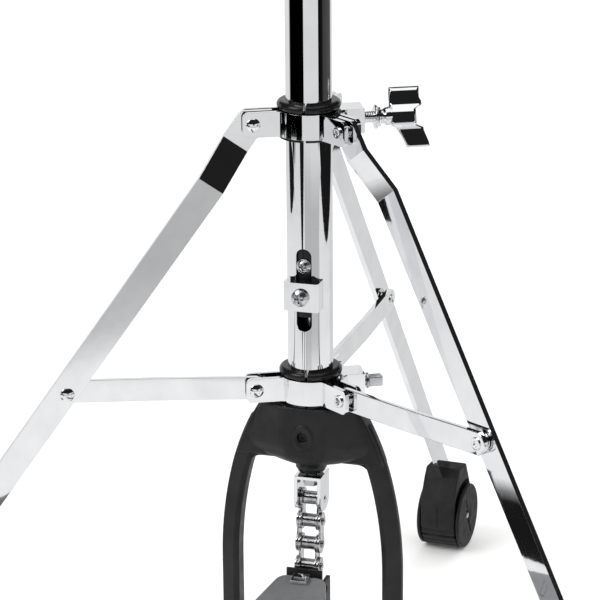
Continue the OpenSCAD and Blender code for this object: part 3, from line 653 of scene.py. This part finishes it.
def boot(side, az):
    """A round rubber shoe: ribbed tread, raised side discs with a slot and a pin, hooded socket."""
    place = turn(az) @ shift(FOOT_RADIUS, FOOT_SIDE, FOOT_R) @ turn(90, "X")
    half = FOOT_W / 2
    made = Shells()
    tread = []
    groove, ribs = 1.1, 30
    for degrees in range(-180, 0, 3):
        a = math.radians(degrees)
        ribbed = -172 < degrees < -8
        r = FOOT_R - (groove * (0.5 + 0.5 * math.cos(a * ribs)) ** 2 if ribbed else 0.0)
        tread.append((r * math.cos(a), r * math.sin(a)))
    neck = [(21.4, 0), (18.4, 11.0), (14.2, 15.8), (4.6, 34.8), (-10.0, 35.6), (-14.2, 30.5), (-21.2, 17.8),
            (-21.5, 13)]
    outline = tread + rounded(neck, 1.6, 4, closed=False)
    made.prism(outline, -half, half, place, edge=1.1)
    for flip in (1, -1):
        out = place @ Matrix.Diagonal((1, 1, flip, 1))
        made.lathe(disc(15.6, half - 4, half + 1.2, 0.4), out, 72)
        side_disc = [(0, half + 0.8), (21.05, half + 0.8), (21.1, half + 2.3), (20.3, half + 3.0), (6.0, half + 3.0),
                     (5.0, half + 2.5), (0, half + 2.5)]
        made.lathe(rounded(side_disc, 0.6, 4, closed=False), out, 96)
    piece = finished(made, f"{side}_boot_rubber", RUBBER, f"{side}_leg_set", "rubber", f"{side}_boot")
    slot_cut = Shells()
    recess = arc((0, 0), 24.3, 66, 141, 16) + [(-19, 15), (-19, -9)] + arc((0, 0), 16.4, 208, 66, 24)
    slot = rounded([(-14.5, -1.0), (14.5, -1.0), (14.5, 1.0), (-14.5, 1.0)], 0.9)
    for flip in (1, -1):
        out = place @ Matrix.Diagonal((1, 1, flip, 1))
        slot_cut.prism(recess, half - 3.4, half + 0.79, out)
        slot_cut.prism(slot, half + 1.7, half + 8, out @ turn(110))
    slot_cut.prism([(-23, -2), (-21.0, -2), (-21.0, 12), (-23, 12)], -0.4, 0.4, place)
    without(piece, scratch_object(slot_cut))
    pin = Shells()
    head = [(0, half + 1.0)]
    head += rounded([(1.9, half + 1.0), (1.9, half + 2.75), (0, half + 2.95)], 0.5, 3, closed=False)
    for flip in (1, -1):
        pin.lathe(head, place @ Matrix.Diagonal((1, 1, flip, 1)), 24)
    finished(pin, f"{side}_boot_pin", STEEL, f"{side}_leg_set", "steel")


# ---- Cast frame ----

ARCH_WALL = 11.3
ARCH_LOW_R, ARCH_HIGH_R, ARCH_TURN = 239, 150, 13.5      # the long bend, the tighter one, and where they meet
ARCH_LOW_C = (FRAME_HALF - ARCH_LOW_R, 94.2)
ARCH_HIGH_C = tuple(c + (ARCH_LOW_R - ARCH_HIGH_R) * t for c, t in
                    zip(ARCH_LOW_C, (math.cos(math.radians(ARCH_TURN)), math.sin(math.radians(ARCH_TURN)))))
CROTCH = 158.6                      # the height of the crown's lower edge
CROWN_TOP = 194.2
NECK_LOW, NECK_HIGH = 153.4, 163    # the neck that holds the rod's guide bush
GUIDE_BORE_R = 6.45
BOSS_Z = 177


def arch_side(inside, low, high, steps=14):
    """The right side of the arch between two heights, at a distance inside its outer line, in the plane X, Z."""
    line = []
    for i in range(steps + 1):
        z = low + (high - low) * i / steps
        if z < ARCH_LOW_C[1]:
            line.append((FRAME_HALF - inside, z))
            continue
        centre, r = ARCH_LOW_C, ARCH_LOW_R - inside
        if z > centre[1] + r * math.sin(math.radians(ARCH_TURN)):
            centre, r = ARCH_HIGH_C, ARCH_HIGH_R - inside
        line.append((centre[0] + math.sqrt(r * r - (z - centre[1]) ** 2), z))
    return line


def crown_web(start, inside):
    """The flat web under the crown: it follows the outer curve, and its lower edge rounds into the legs."""
    right = arch_side(inside, start, CROWN_TOP - 0.6)
    if start < CROTCH:
        low = arch_side(ARCH_WALL - 0.8, start, CROTCH - 1, 1)
        inner = [low[0], (low[1][0], CROTCH), (8, CROTCH)]
        right = rounded(inner, 9.0, 8, closed=False)[::-1] + right
    return right + [(-x, z) for x, z in reversed(right)]


def crown_hull():
    """The boat-shaped crown: long hexagons at four heights under one skin, its edges rounded."""
    made = bmesh.new()
    for z, end_x, end_y, mid_x, mid_y in ((CROWN_TOP, 26.5, 9, 13, 17.1), (170.5, 36.8, 5.6, 13, 17.1),
                                          (163.5, 33, 5.6, 10, 15.3), (CROTCH, 17, 5.6, 5.8, 12.1)):
        for x, y in ((end_x, end_y), (mid_x, mid_y)):
            for along in (1, -1):
                for across in (1, -1):
                    made.verts.new((x * along, y * across, z))
    bmesh.ops.convex_hull(made, input=made.verts)
    bmesh.ops.dissolve_limit(made, angle_limit=math.radians(1), verts=made.verts, edges=made.edges)
    edges = [e for e in made.edges if e.calc_face_angle(0) > math.radians(8)]
    bmesh.ops.bevel(made, geom=edges, offset=1.5, segments=3, profile=0.5, affect="EDGES", clamp_overlap=True)
    return made


def frame_casting():
    """The arch as one casting: legs with a sharp ridge and sloping faces, crown, neck, screw boss and feet."""
    made = Shells()
    path = arch_side(ARCH_WALL / 2, 4, 180, 44)
    profile = rounded([(5.4, -2.0), (5.4, 2.0), (-2.6, 6.1), (-5.5, 4.6), (-5.5, -4.6), (-2.6, -6.1)], 1.1, 3)
    for flip in (1, -1):
        mirror = Matrix.Diagonal((flip, 1, 1, 1))
        sections = []
        for i, (x, z) in enumerate(path):
            a, b = path[max(0, i - 1)], path[min(len(path) - 1, i + 1)]
            t = Vector((b[0] - a[0], b[1] - a[1])).normalized()
            n = Vector((t.y, -t.x))
            sections.append([(x + n.x * u, v, z + n.y * u) for u, v in profile])
        made.loft(sections, mirror)
        made.box((FRAME_FOOT - 7.9, -10.9, 4.05), (FRAME_FOOT + 7.9, 10.9, 10.9), mirror, 1.6)
    made.prism(crown_web(CROTCH - 12, 5.2), -4.6, 4.6, turn(90, "X"), edge=1.2)
    made.prism(crown_web(CROTCH + 1, 1.2), -6.1, 6.1, turn(90, "X"), edge=1.6)
    made.take(crown_hull(), Matrix())
    neck = [(0, NECK_LOW), (8.7, NECK_LOW), (9.5, 160), (9.5, NECK_HIGH), (0, NECK_HIGH)]
    made.lathe(rounded(neck, 0.8, 4, closed=False), segments=72)
    boss = shift(0, 0, BOSS_Z) @ Matrix.Diagonal((0.9, 1, 1.18, 1)) @ turn(90, "X")
    made.lathe(rounded([(0, 4), (7.6, 4), (6.9, 16.5), (6.2, 18.5), (0, 18.5)], 1.0, 4, closed=False), boss, 72)
    piece = finished(made, "frame_casting_cast", CAST, "frame", "cast_black", "frame_casting")
    screw_hole = shift(0, 0, BOSS_Z + 0.4) @ turn(90, "X")
    for r, z0, z1, place, segments in ((TUBE_R + 0.03, NECK_HIGH, 200, Matrix(), 128),
                                       (GUIDE_BORE_R, 140, 165, Matrix(), 64), (3.0, 15.4, 40, screw_hole, 48)):
        without(piece, scratch_object(Shells().lathe(disc(r, z0, z1, 0.01, 1), place, segments)))


# ---- Chain and spring ----

def chain_turned_parts():
    """Rollers with waisted ends and pins with riveted heads, along the leaning chain."""
    pins_count, pitch = 5, 13.2
    run = 8.3                        # the lowest pin's offset from the top one
    lean = math.degrees(math.asin(run / (pitch * (pins_count - 1))))
    top = shift(0, 0, JOINTS["chain_swing"]["pos_m"][2] / MM) @ turn(-lean, "X")
    rollers, pins = Shells(), Shells()
    for i in range(pins_count):
        place = top @ shift(0, 0, -pitch * i) @ ALONG_X
        if i < pins_count - 1:
            rollers.lathe(rim(2.1, 3.9, -3.9, 3.9, 0.35), place, 56)
        head = [(0, -8.4), (1.2, -8.4), (1.9, -8.0), (2.0, -7.4), (2.0, 7.4), (1.9, 8.0), (1.2, 8.4), (0, 8.4)]
        pins.lathe(head, place, 40)
    finished(rollers, "chain_rollers_turned", CHAIN, "chain", "chain_steel", "chain_rollers")
    finished(pins, "chain_pins_turned", CHAIN, "chain", "chain_steel", "chain_pins")


def pull_spring():
    """The coil spring inside the tube: it stands on its seat."""
    low, high = (c.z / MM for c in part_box("spring"))
    radius, wire, turns, steps = 8.0, 1.1, 11, 26
    sections = []
    for i in range(turns * steps + 1):
        a = TAU * i / steps
        mid = low + wire + (high - low - 2 * wire) * i / (turns * steps)
        sections.append([((radius + wire * math.cos(b)) * math.cos(a), (radius + wire * math.cos(b)) * math.sin(a),
                          mid + wire * math.sin(b)) for b in (TAU * k / 10 for k in range(10))])
    coil = Shells().loft(sections)
    piece = finished(coil, "pull_spring_coil", STEEL, "pull_rod", "steel", "spring", weighted=False)
    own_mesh(piece)


# ---- Footboard ----

def board_outline(inset):
    toe = BOARD_LEN - inset
    half = BOARD_HALF - inset
    right = [(half - 2, 9 + inset), (half, 60), (half, 150), (half - 9, 205), (half - 20, 245)]
    right = rounded(right, 40, 6, closed=False) + arc((8.2 - inset, toe - 8), 7, 12, 90, 6)
    return right + [(-x, y) for x, y in reversed(right)]


def footboard():
    """The tread plate: rounded rims, raised grip bars in a chevron, a toe stop, and the hinge barrel."""
    place = on_board()
    made = Shells()
    made.prism(board_outline(0), 0.0, 4.2, place, edge=1.2)
    skirt = board_outline(0.2)
    inner = board_outline(3.4)
    open_toe = 24                    # the skirt stops short of the toe, where the chain's fork sits
    span = [i for i, (_, y) in enumerate(skirt) if y < BOARD_LEN - open_toe]
    count = len(skirt)
    for chosen in ([i for i in span if i < count / 2], [i for i in span if i >= count / 2]):
        wall = [skirt[i] for i in chosen] + [inner[i] for i in reversed(chosen)]
        made.prism(wall, -6, 1, place, edge=0.8)
    bars, first, pitch = 13, 34, 15.5
    for k in range(bars):
        y = first + pitch * k
        reach = 31 if y < 160 else 31 - (y - 160) * 0.2
        for flip in (1, -1):
            bar = [(2.5 * flip, y + 5), (reach * flip, y - 4.5), (reach * flip, y - 1.1), (2.5 * flip, y + 8.4)]
            made.prism(rounded(bar if flip > 0 else bar[::-1], 1.5, 4), 3.6, 4.95, place, edge=0.5)
    made.lathe(rim(3.05, 6.0, -26, 26, 0.6), place @ ALONG_X, 56)
    made.box((-25.6, 0.5, 0.2), (25.6, 12, 4.1), place, 0.8)
    finished(made, "footboard_tread", GREY, "pedal", "grey_metal", "footboard")


# ---- Cymbals and felts ----

def cymbal_height(r):
    """Height of a cymbal's upper face below its apex, at radius r."""
    flat_r, bell_r, bell_h, high, edge = 18, 48, 17, 38, 178
    if r <= flat_r:
        return 0.0
    if r <= bell_r:
        u = math.asin((r - flat_r) / (bell_r - flat_r)) / (math.pi / 2)
        return -bell_h * (1 - math.cos(u * math.pi / 2))
    u = (r - bell_r) / (edge - bell_r)
    return -bell_h - (high - bell_h) * (0.75 * u + 0.25 * u * u)


def cymbal(name, node, body, seed, upside_down):
    """A turned and hammered cymbal: lathe grooves outside the bell, shallow hammer marks, thin lip."""
    low, high = (c.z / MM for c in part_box(node))
    apex = low if upside_down else high
    place = shift(0, 0, apex) @ (Matrix.Diagonal((1, 1, -1, 1)) if upside_down else Matrix())
    thick, skin = 1.3, 0.06          # the marks are cut into a skin inside the CAD's faces
    dent_spread = 18
    segments = 224
    radii = [6.6, 7.4] + [8 + 1.6 * i for i in range(106)] + [177.2, 177.75]
    rng = np.random.default_rng(seed)
    marks = [(rng.uniform(60, 170), rng.uniform(0, TAU), rng.uniform(0.05, 0.11)) for _ in range(260)]
    made = bmesh.new()
    grid = []
    mark_r, mark_a, mark_d = np.array(marks).T
    mark_x, mark_y = mark_r * np.cos(mark_a), mark_r * np.sin(mark_a)
    angles = np.arange(segments) * TAU / segments
    for face in (0, 1):
        for r in (radii if face == 0 else radii[::-1]):
            x, y = r * np.cos(angles), r * np.sin(angles)
            near = (x[:, None] - mark_x) ** 2 + (y[:, None] - mark_y) ** 2
            dent = (mark_d * np.exp(-near / dent_spread)).sum(1)
            groove = 0.035 * math.sin(r * 2.1) if r > 50 else 0.0
            edge = 0.3 if r > 177.5 else 0.0
            z = cymbal_height(r) - skin - dent * 0.5 + groove * 0.5 - edge
            if face:
                z = cymbal_height(r) - thick + skin - dent * 0.5 + groove * 0.5 + edge
            grid.append([made.verts.new(p) for p in zip(x, y, np.broadcast_to(z, x.shape))])
    for low_ring, high_ring in zip(grid, grid[1:] + grid[:1]):
        for k in range(segments):
            n = (k + 1) % segments
            made.faces.new((low_ring[k], low_ring[n], high_ring[n], high_ring[k]))
    piece = finished(Shells().take(made, place), name, BRONZE, body, "bronze", node, weighted=False)
    piece.visible_glossy = False


def felt_ring(shells, r_in, r_out, z0, z1, rng):
    """A felt washer: crowned faces, soft rims and an uneven fibrous surface."""
    made = bmesh.new()
    profile = rounded([(r_in, z0), (r_out, z0), (r_out, z1), (r_in, z1)], min(2.4, (z1 - z0) * 0.3), 6)
    fine = []
    for a, b in zip(profile, profile[1:] + profile[:1]):
        steps = max(1, int(math.dist(a, b) / 1.0))
        fine += [(a[0] + (b[0] - a[0]) * k / steps, a[1] + (b[1] - a[1]) * k / steps) for k in range(steps)]
    segments = 96
    mid_z, mid_r = (z0 + z1) / 2, (r_in + r_out) / 2
    rings = []
    for r, z in fine:
        wobble = rng.uniform(0.0, 0.14, segments)
        inward = Vector((mid_r - r, mid_z - z)).normalized()
        rings.append([made.verts.new(((r + inward.x * wobble[k]) * math.cos(TAU * k / segments),
                                      (r + inward.x * wobble[k]) * math.sin(TAU * k / segments),
                                      z + inward.y * wobble[k])) for k in range(segments)])
    for low, high in zip(rings, rings[1:] + rings[:1]):
        for k in range(segments):
            n = (k + 1) % segments
            made.faces.new((low[k], low[n], high[n], high[k]))
    return shells.take(made, Matrix())


def felts():
    rng = np.random.default_rng(7)
    z0, z1 = (c.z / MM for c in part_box("seat_felt"))
    seat = finished(felt_ring(Shells(), 7.2, 17.9, z0 + 0.05, z1 - 0.05, rng), "seat_felt_pad", FELT,
                    BODY["seat_felt"], "felt", "seat_felt", weighted=False)
    z0, z1 = (c.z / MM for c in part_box("clutch_felts"))
    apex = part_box("top_cymbal")[1].z / MM
    pads = felt_ring(Shells(), 5.7, 16.9, z0 + 0.05, apex - 1.4, rng)
    felt_ring(pads, 5.7, 16.9, apex + 0.1, z1 - 0.05, rng)
    clutch = finished(pads, "clutch_felt_pads", FELT, BODY["clutch_felts"], "felt", "clutch_felts", weighted=False)


# ---- Studio ----

VIEW_AZIMUTH = 17.036
VIEW_ELEVATION = 18.881
VIEW_DISTANCE = 1.618
VIEW_ROLL = -0.483
VIEW_TARGET = (-0.0045, -0.0047, 0.2537)
LENS = 175.8
FLAG_R = 4.5                        # the dark flags stand this far off


def look():
    az, el = math.radians(VIEW_AZIMUTH), math.radians(VIEW_ELEVATION)
    back = Vector((math.sin(az) * math.cos(el), -math.cos(az) * math.cos(el), math.sin(el)))
    data = bpy.data.cameras.new("view")
    data.lens = LENS
    data.sensor_width = 36
    data.clip_start, data.clip_end = 0.05, 200
    camera = bpy.data.objects.new("view", data)
    bpy.context.scene.collection.objects.link(camera)
    level = (-back).to_track_quat("-Z", "Y").to_matrix().to_4x4()
    camera.matrix_world = Matrix.Translation(Vector(VIEW_TARGET) + back * VIEW_DISTANCE) @ level @ turn(VIEW_ROLL)
    bpy.context.scene.camera = camera


def plain(name, colour):
    """A matt material for the studio."""
    made = bpy.data.materials.new(name)
    made.use_nodes = True
    bsdf = made.node_tree.nodes["Principled BSDF"]
    bsdf.inputs["Base Color"].default_value = (*colour, 1)
    bsdf.inputs["Roughness"].default_value = 0.9
    return made


def glow(name, stops, strength=1.0, by="turn"):
    """Emission that changes with the direction about the object, in degrees, or with the distance from it, in
    metres, as softboxes, a grey sweep and dark flags would."""
    made = bpy.data.materials.new(name)
    made.use_nodes = True
    tree = made.node_tree
    tree.nodes.clear()
    coords = tree.nodes.new("ShaderNodeTexCoord")
    share = tree.nodes.new("ShaderNodeMapRange")
    low, high = (-180, 180) if by == "turn" else (0, FLAG_R)
    if by == "turn":
        split = tree.nodes.new("ShaderNodeSeparateXYZ")
        tree.links.new(coords.outputs["Object"], split.inputs[0])
        angle = tree.nodes.new("ShaderNodeMath")
        angle.operation = "ARCTAN2"
        tree.links.new(split.outputs["Y"], angle.inputs[0])
        tree.links.new(split.outputs["X"], angle.inputs[1])
        tree.links.new(angle.outputs[0], share.inputs["Value"])
        share.inputs["From Min"].default_value = -math.pi
        share.inputs["From Max"].default_value = math.pi
    else:
        reach = tree.nodes.new("ShaderNodeVectorMath")
        reach.operation = "LENGTH"
        tree.links.new(coords.outputs["Object"], reach.inputs[0])
        tree.links.new(reach.outputs["Value"], share.inputs["Value"])
        share.inputs["From Max"].default_value = high
    ramp = tree.nodes.new("ShaderNodeValToRGB")
    fill_ramp(ramp, [((at - low) / (high - low), (value, value, value)) for at, value in stops])
    tree.links.new(share.outputs[0], ramp.inputs["Fac"])
    light = tree.nodes.new("ShaderNodeEmission")
    light.inputs["Strength"].default_value = strength
    tree.links.new(ramp.outputs["Color"], light.inputs["Color"])
    out = tree.nodes.new("ShaderNodeOutputMaterial")
    tree.links.new(light.outputs[0], out.inputs["Surface"])
    return made


def stage_mesh(name, verts, faces, material, **seen_by):
    """A studio surface; seen_by turns off the kinds of ray that shouldn't meet it."""
    mesh = bpy.data.meshes.new(name)
    mesh.from_pydata(verts, [], faces)
    mesh.materials.append(material)
    made = bpy.data.objects.new(name, mesh)
    bpy.context.scene.collection.objects.link(made)
    for kind in ("camera", "diffuse", "glossy", "transmission", "shadow"):
        setattr(made, f"visible_{kind}", seen_by.get(kind, True))
    return made


def area_light(name, place, target, size, power, glossy=True):
    data = bpy.data.lights.new(name, "AREA")
    data.shape = "RECTANGLE"
    data.size, data.size_y = size
    data.energy = power
    made = bpy.data.objects.new(name, data)
    bpy.context.scene.collection.objects.link(made)
    made.location = place
    made.rotation_mode = "QUATERNION"
    made.rotation_quaternion = (Vector(target) - Vector(place)).to_track_quat("-Z", "Y")
    made.visible_glossy = glossy
    made.visible_camera = False


def sector(r0, r1, start, end, z):
    """Vertices and faces of a flat ring sector, in degrees from the view's right."""
    steps = max(2, int((end - start) / 4))
    verts = [(r * math.cos(a), r * math.sin(a), z) for r in (r0, r1)
             for a in (math.radians(start + (end - start) * k / steps) for k in range(steps + 1))]
    faces = [(k, k + 1, steps + 2 + k, steps + 1 + k) for k in range(steps)]
    return verts, faces


def mirror_side(name, verts, faces, material):
    """A studio surface that only reflections see, turned to the view."""
    made = stage_mesh(name, verts, faces, material, camera=False, diffuse=False, shadow=False, transmission=False)
    made.rotation_euler.z = math.radians(VIEW_AZIMUTH)


def studio():
    """Pale floor, soft light all round, and a mirror-side set of pale sweep and dark flags for the chrome."""
    far = 90
    floor = plain("pale_floor", (0.93, 0.93, 0.93))
    stage_mesh("floor", [(-far, -far, 0), (far, -far, 0), (far, far, 0), (-far, far, 0)], [(0, 1, 2, 3)], floor,
               glossy=False)
    # Directions are azimuths from the right of the view; the camera stands at -90
    near = glow("sweep_near", [(0, 0.95), (0.55, 0.92), (0.8, 0.84), (1.1, 0.74)], by="reach")
    edge, outer = 1.25, 3.2          # where the near sweep ends, and the far one
    under = -0.001                   # the sweeps lie just under the floor, the dark wedges on it
    mirror_side("sweep_near", *sector(0.0, edge, 80, 245, under), near)
    right = glow("sweep_right", [(0, 0.74), (2, 0.7)], by="reach")
    mirror_side("sweep_right", *sector(0.0, edge, 24, 80, under), right)
    mirror_side("sweep_side", *sector(0.0, edge, -42, 24, under), near)
    front = glow("sweep_front", [(0, 0.95), (0.57, 0.95), (0.66, 0.6), (0.82, 0.5), (1.02, 0.52), (1.2, 0.76),
                                 (FLAG_R, 0.8)], by="reach")
    mirror_side("sweep_front", *sector(0.0, outer, -115, -42, under), front)
    far_bands = [(-180, 0.0), (-42, 0.0), (-20, 0.01), (-15, 0.05), (38, 0.09), (50, 0.78), (160, 0.8), (168, 0.0)]
    mirror_side("sweep_far", *sector(edge, outer, -42, 245, under), glow("sweep_far", far_bands))
    # Dark wedges that reach in over the near sweep: (start, end, tip azimuth, tip distance)
    verts, faces = [], []
    for start, end, tip_at, tip_r in ((150, 203, 160, 1.0), (-137, -116, -130, 0.72), (-42, 50, 20, 0.96)):
        rim_steps = 8
        a = math.radians(tip_at)
        verts.append((tip_r * math.cos(a), tip_r * math.sin(a), 0.0))
        tip = len(verts) - 1
        for k in range(rim_steps + 1):
            a = math.radians(start + (end - start) * k / rim_steps)
            verts.append((edge * math.cos(a), edge * math.sin(a), 0.0))
        faces += [(tip, tip + 1 + k, tip + 2 + k) for k in range(rim_steps)]
    mirror_side("sweep_wedges", verts, faces, glow("sweep_wedges", [(-180, 0.01), (180, 0.01)]))
    patch = glow("sweep_patch", [(0, 0.01), (0.362, 0.01), (0.39, 0.9)], by="reach")
    mirror_side("sweep_patch", *sector(0.262, 0.39, 164, 204, 0.0005), patch)
    flag = 0.015                     # what a black flag still sends back
    wall_bands = [(-180, flag), (56, flag), (62, 0.85), (148, 0.85), (154, flag)]
    around = [(-180, 0.75), (-150, 0.85), (-146, 0.03), (-134, 0.03), (-130, 0.8), (-84, 0.9), (-80, 0.05),
              (-66, 0.05), (-62, 0.85), (-10, 0.7), (-6, 0.02), (10, 0.02), (14, 0.85), (84, 0.9), (88, 0.1),
              (98, 0.1), (102, 0.85), (150, 0.8), (154, 0.03), (168, 0.03), (172, 0.75)]
    flag_bands = [(-180, flag), (76, flag), (82, 0.8), (100, 0.8), (106, flag)]
    low, level, panel, high = -5.0, 0.85, 2.0, 2.6      # the heights where one wall gives way to the next
    parts = 96
    ring = [(FLAG_R * math.cos(TAU * k / parts), FLAG_R * math.sin(TAU * k / parts)) for k in range(parts)]
    for name, z0, z1, bands in (("low_wall", low, level, around), ("back_panel", level, panel, wall_bands),
                                ("flags", panel, high, flag_bands)):
        verts = [(x, y, z) for z in (z0, z1) for x, y in ring]
        faces = [(k, (k + 1) % parts, parts + (k + 1) % parts, parts + k) for k in range(parts)]
        mirror_side(name, verts, faces, glow(name, bands))
    mirror_side("ceiling", *sector(0.0, FLAG_R, 0, 360, high), glow("ceiling", [(-180, flag), (180, flag)]))
    half = 1.2
    box = [(x * half, y * half, high - 0.01) for x, y in ((-1, -1), (1, -1), (1, 1), (-1, 1))]
    softbox = glow("overhead_softbox", [(-180, 1.0), (180, 1.0)], 1.15)
    mirror_side("overhead_softbox", box, [(0, 1, 2, 3)], softbox)

    area_light("key", (-1.6, -1.4, 2.2), (0, 0, 0.3), (1.6, 1.6), 34)
    area_light("fill", (1.9, -1.2, 1.5), (0, 0, 0.35), (1.2, 1.8), 14, glossy=False)
    area_light("back", (0.4, 2.0, 1.8), (0, 0, 0.4), (1.6, 1.0), 16, glossy=False)

    world = bpy.data.worlds.new("studio")
    world.use_nodes = True
    world.node_tree.nodes["Background"].inputs["Color"].default_value = (1, 1, 1, 1)
    world.node_tree.nodes["Background"].inputs["Strength"].default_value = 0.9
    bpy.context.scene.world = world
    bpy.context.scene.view_settings.view_transform = "Standard"


look()
studio()
ease_cad_shapes()
finish_plain_nodes()
tubes()
bolts()
brace_rims()
for leg_side, leg_azimuth in LEG_AZ.items():
    boot(leg_side, leg_azimuth)
frame_casting()
chain_turned_parts()
pull_spring()
footboard()
cymbal("bottom_cymbal_turned", "bottom_cymbal", BODY["bottom_cymbal"], 3, upside_down=True)
cymbal("top_cymbal_turned", "top_cymbal", BODY["top_cymbal"], 5, upside_down=False)
felts()
